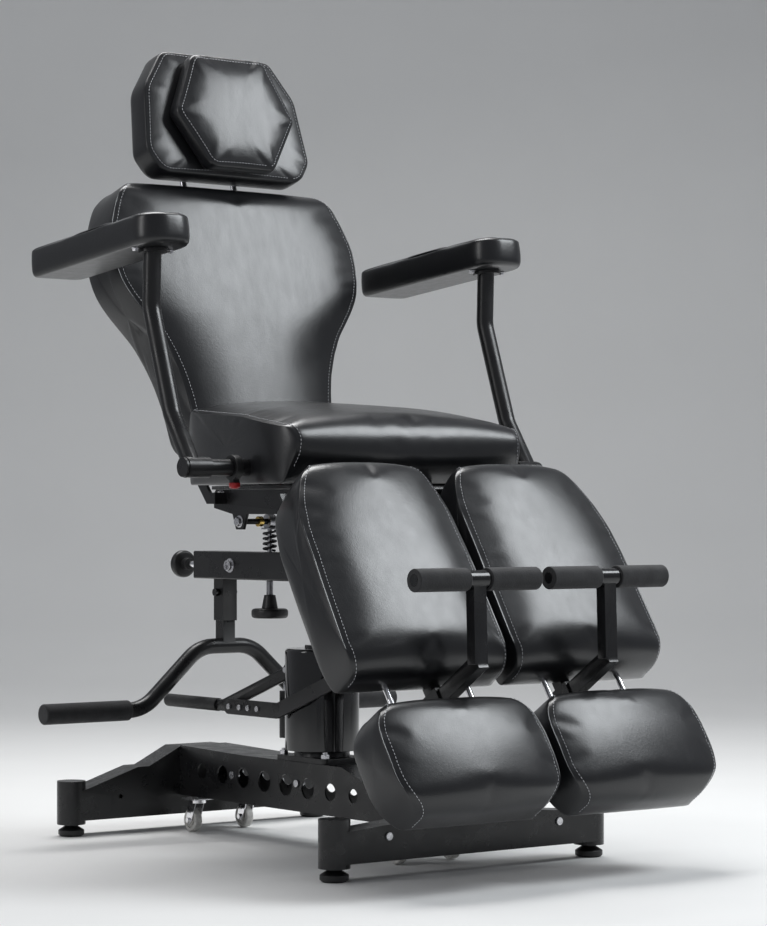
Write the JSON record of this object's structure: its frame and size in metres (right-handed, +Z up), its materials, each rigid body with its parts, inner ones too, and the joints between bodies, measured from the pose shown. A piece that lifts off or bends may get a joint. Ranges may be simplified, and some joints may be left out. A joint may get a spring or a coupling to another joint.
{
  "type": "tattoo chair",
  "caption": "Upholstered tattoo chair on a foot-pumped column, with reclining backrest, headrest, swinging armrests and split leg rests.",
  "frame": {"origin": "middle of the floor that the chair covers, 110 mm ahead of the lift column", "axes": "+Z up, -Y the way the sitter faces, +X the sitter's left"},
  "size_m": [0.812, 1.1015, 1.401],
  "materials": {
    "vinyl": "satin",
    "frame_paint": "satin",
    "pump_gloss": "gloss",
    "chrome_rod": "polished",
    "spring_steel": "satin",
    "bolts": "satin",
    "knob_plastic": "matte",
    "foam": "matte",
    "wheel_grey": "satin"
  },
  "bodies": {
    "base": {"base_spine": "frame_paint", "front_crossbar": "frame_paint", "rear_crossbar": "frame_paint", "frame_fasteners": "bolts", "caster_plates": "bolts", "levelling_feet": "knob_plastic", "pump_cylinder": "frame_paint", "pump_housing": "pump_gloss", "lever_bracket": "frame_paint"},
    "piston": {"lift_piston": "chrome_rod"},
    "plunger": {"pump_plunger": "bolts"},
    "pedal": {"pump_lever": "frame_paint", "front_pedal_bar": "frame_paint", "pedal_sleeves": "foam", "pedal_fasteners": "bolts"},
    "beam": {"main_beam": "frame_paint", "beam_fasteners": "bolts"},
    "rear_knob": {"end_knob": "knob_plastic"},
    "arch": {"arch_bar": "frame_paint", "foot_grips": "foam"},
    "lock_pin": {"lock_pin": "bolts"},
    "tilt_link": {"tilt_rod": "spring_steel", "tilt_spring": "spring_steel"},
    "clamp_knob": {"tilt_knob": "knob_plastic"},
    "seat": {"seat_frame": "frame_paint", "seat_cushion": "vinyl"},
    "backrest": {"backrest_frame": "frame_paint", "backrest_cushion": "vinyl"},
    "headrest_post": {"headrest_rods": "chrome_rod"},
    "headrest": {"headrest_bracket": "frame_paint", "headrest_rear_pad": "vinyl", "headrest_front_pad": "vinyl"},
    "fork_front_right": {"caster_fork_front_right": "chrome_rod"},
    "wheel_front_right": {"caster_wheel_front_right": "wheel_grey"},
    "fork_front_left": {"caster_fork_front_left": "chrome_rod"},
    "wheel_front_left": {"caster_wheel_front_left": "wheel_grey"},
    "fork_rear_right": {"caster_fork_rear_right": "chrome_rod"},
    "wheel_rear_right": {"caster_wheel_rear_right": "wheel_grey"},
    "fork_rear_left": {"caster_fork_rear_left": "chrome_rod"},
    "wheel_rear_left": {"caster_wheel_rear_left": "wheel_grey"},
    "arm_shaft_right": {"armrest_shaft_right": "chrome_rod"},
    "arm_post_right": {"armrest_post_right": "frame_paint"},
    "arm_pad_right": {"armrest_pad_right": "vinyl"},
    "lock_lever_right": {"lock_lever_right": "knob_plastic"},
    "leg_right": {"leg_frame_right": "frame_paint", "calf_pad_right": "vinyl"},
    "foot_right": {"foot_slide_right": "chrome_rod", "foot_pad_right": "vinyl"},
    "t_bar_right": {"t_bar_right": "frame_paint", "foam_rollers_right": "foam"},
    "arm_shaft_left": {"armrest_shaft_left": "chrome_rod"},
    "arm_post_left": {"armrest_post_left": "frame_paint"},
    "arm_pad_left": {"armrest_pad_left": "vinyl"},
    "lock_lever_left": {"lock_lever_left": "knob_plastic"},
    "leg_left": {"leg_frame_left": "frame_paint", "calf_pad_left": "vinyl"},
    "foot_left": {"foot_slide_left": "chrome_rod", "foot_pad_left": "vinyl"},
    "t_bar_left": {"t_bar_left": "frame_paint", "foam_rollers_left": "foam"}
  },
  "joints": [
    {"name": "pump_lift", "type": "slide", "parent": "base", "child": "piston", "axis": [0, 0, 1], "range_m": [-0.06, 0.08]},
    {"name": "pedal_press", "type": "hinge", "parent": "base", "child": "pedal", "pos_m": [0, 0.194, 0.3], "axis": [-1, 0, 0], "range_deg": [0, 10], "stiffness_Nm_per_rad": 16, "springref_deg": -20.05},
    {"name": "plunger_stroke", "type": "slide", "parent": "base", "child": "plunger", "axis": [0, 0, -1], "range_m": [0, 0.004]},
    {"name": "beam_swivel", "type": "hinge", "parent": "piston", "child": "beam", "pos_m": [0, 0.11, 0.455], "axis": [0, 0, -1], "range_deg": [-20, 10]},
    {"name": "rear_knob_turn", "type": "hinge", "parent": "beam", "child": "rear_knob", "pos_m": [0, 0.54, 0.48], "axis": [0, 1, 0], "continuous": true},
    {"name": "arch_height", "type": "slide", "parent": "beam", "child": "arch", "axis": [0, 0, -1], "range_m": [0, 0.04]},
    {"name": "lock_pin_pull", "type": "slide", "parent": "beam", "child": "lock_pin", "axis": [-1, 0, 0], "range_m": [0, 0.012], "stiffness_N_per_m": 300, "springref_m": -0.012},
    {"name": "seat_tilt", "type": "hinge", "parent": "beam", "child": "seat", "pos_m": [0, -0.01, 0.56], "axis": [1, 0, 0], "range_deg": [-3, 3]},
    {"name": "tilt_rod_lift", "type": "slide", "parent": "beam", "child": "tilt_link", "axis": [0, 0, 1], "range_m": [-0.0145, 0.0145], "deforming": ["tilt_spring"]},
    {"name": "clamp_knob_turn", "type": "hinge", "parent": "beam", "child": "clamp_knob", "pos_m": [0, 0.266, 0.42], "axis": [0, 0, 1], "continuous": true},
    {"name": "backrest_recline", "type": "hinge", "parent": "seat", "child": "backrest", "pos_m": [0, 0.362, 0.64], "axis": [-1, 0, 0], "range_deg": [0, 74]},
    {"name": "headrest_height", "type": "slide", "parent": "backrest", "child": "headrest_post", "axis": [0, 0.284, 0.9588], "range_m": [0, 0.08]},
    {"name": "headrest_tilt", "type": "hinge", "parent": "headrest_post", "child": "headrest", "pos_m": [0, 0.48547, 1.25848], "axis": [-1, 0, 0], "range_deg": [-8, 25]},
    {"name": "caster_swivel_front_right", "type": "hinge", "parent": "base", "child": "fork_front_right", "pos_m": [-0.056, -0.19, 0.06], "axis": [0, 0, 1], "continuous": true},
    {"name": "caster_roll_front_right", "type": "hinge", "parent": "fork_front_right", "child": "wheel_front_right", "pos_m": [-0.056, -0.174, 0.021], "axis": [1, 0, 0], "continuous": true},
    {"name": "caster_swivel_front_left", "type": "hinge", "parent": "base", "child": "fork_front_left", "pos_m": [0.056, -0.19, 0.06], "axis": [0, 0, 1], "continuous": true},
    {"name": "caster_roll_front_left", "type": "hinge", "parent": "fork_front_left", "child": "wheel_front_left", "pos_m": [0.056, -0.174, 0.021], "axis": [1, 0, 0], "continuous": true},
    {"name": "caster_swivel_rear_right", "type": "hinge", "parent": "base", "child": "fork_rear_right", "pos_m": [-0.056, 0.41, 0.06], "axis": [0, 0, 1], "continuous": true},
    {"name": "caster_roll_rear_right", "type": "hinge", "parent": "fork_rear_right", "child": "wheel_rear_right", "pos_m": [-0.056, 0.426, 0.021], "axis": [1, 0, 0], "continuous": true},
    {"name": "caster_swivel_rear_left", "type": "hinge", "parent": "base", "child": "fork_rear_left", "pos_m": [0.056, 0.41, 0.06], "axis": [0, 0, 1], "continuous": true},
    {"name": "caster_roll_rear_left", "type": "hinge", "parent": "fork_rear_left", "child": "wheel_rear_left", "pos_m": [0.056, 0.426, 0.021], "axis": [1, 0, 0], "continuous": true},
    {"name": "armrest_width_right", "type": "slide", "parent": "seat", "child": "arm_shaft_right", "axis": [-1, 0, 0], "range_m": [0, 0.06]},
    {"name": "armrest_swing_right", "type": "hinge", "parent": "arm_shaft_right", "child": "arm_post_right", "pos_m": [-0.356, -0.022, 0.648], "axis": [-1, 0, 0], "range_deg": [-30, 25]},
    {"name": "arm_pad_swivel_right", "type": "hinge", "parent": "arm_post_right", "child": "arm_pad_right", "pos_m": [-0.356, 0.096, 1.008], "axis": [0, 0.0993, 0.9951], "range_deg": [-3, 60]},
    {"name": "lock_lever_turn_right", "type": "hinge", "parent": "seat", "child": "lock_lever_right", "pos_m": [-0.276, -0.022, 0.648], "axis": [-1, 0, 0], "range_deg": [0, 50]},
    {"name": "leg_lift_right", "type": "hinge", "parent": "seat", "child": "leg_right", "pos_m": [-0.156, -0.152, 0.61], "axis": [-1, 0, 0], "range_deg": [0, 45]},
    {"name": "foot_extend_right", "type": "slide", "parent": "leg_right", "child": "foot_right", "axis": [0, -0.5592, -0.829], "range_m": [0, 0.07]},
    {"name": "t_bar_reach_right", "type": "slide", "parent": "leg_right", "child": "t_bar_right", "axis": [0, -0.829, 0.5592], "range_m": [-0.02, 0.03]},
    {"name": "armrest_width_left", "type": "slide", "parent": "seat", "child": "arm_shaft_left", "axis": [1, 0, 0], "range_m": [0, 0.06]},
    {"name": "armrest_swing_left", "type": "hinge", "parent": "arm_shaft_left", "child": "arm_post_left", "pos_m": [0.356, -0.022, 0.648], "axis": [-1, 0, 0], "range_deg": [-30, 25]},
    {"name": "arm_pad_swivel_left", "type": "hinge", "parent": "arm_post_left", "child": "arm_pad_left", "pos_m": [0.356, 0.096, 1.008], "axis": [0, -0.0993, -0.9951], "range_deg": [-3, 60]},
    {"name": "lock_lever_turn_left", "type": "hinge", "parent": "seat", "child": "lock_lever_left", "pos_m": [0.276, -0.022, 0.648], "axis": [-1, 0, 0], "range_deg": [0, 50]},
    {"name": "leg_lift_left", "type": "hinge", "parent": "seat", "child": "leg_left", "pos_m": [0.156, -0.152, 0.61], "axis": [-1, 0, 0], "range_deg": [0, 45]},
    {"name": "foot_extend_left", "type": "slide", "parent": "leg_left", "child": "foot_left", "axis": [0, -0.5592, -0.829], "range_m": [0, 0.07]},
    {"name": "t_bar_reach_left", "type": "slide", "parent": "leg_left", "child": "t_bar_left", "axis": [0, -0.829, 0.5592], "range_m": [-0.02, 0.03]}
  ],
  "couplings": [
    {"joint": "plunger_stroke", "follows": "pedal_press", "m_per_rad": 0.022},
    {"joint": "tilt_rod_lift", "follows": "seat_tilt", "m_per_rad": 0.276}
  ]
}
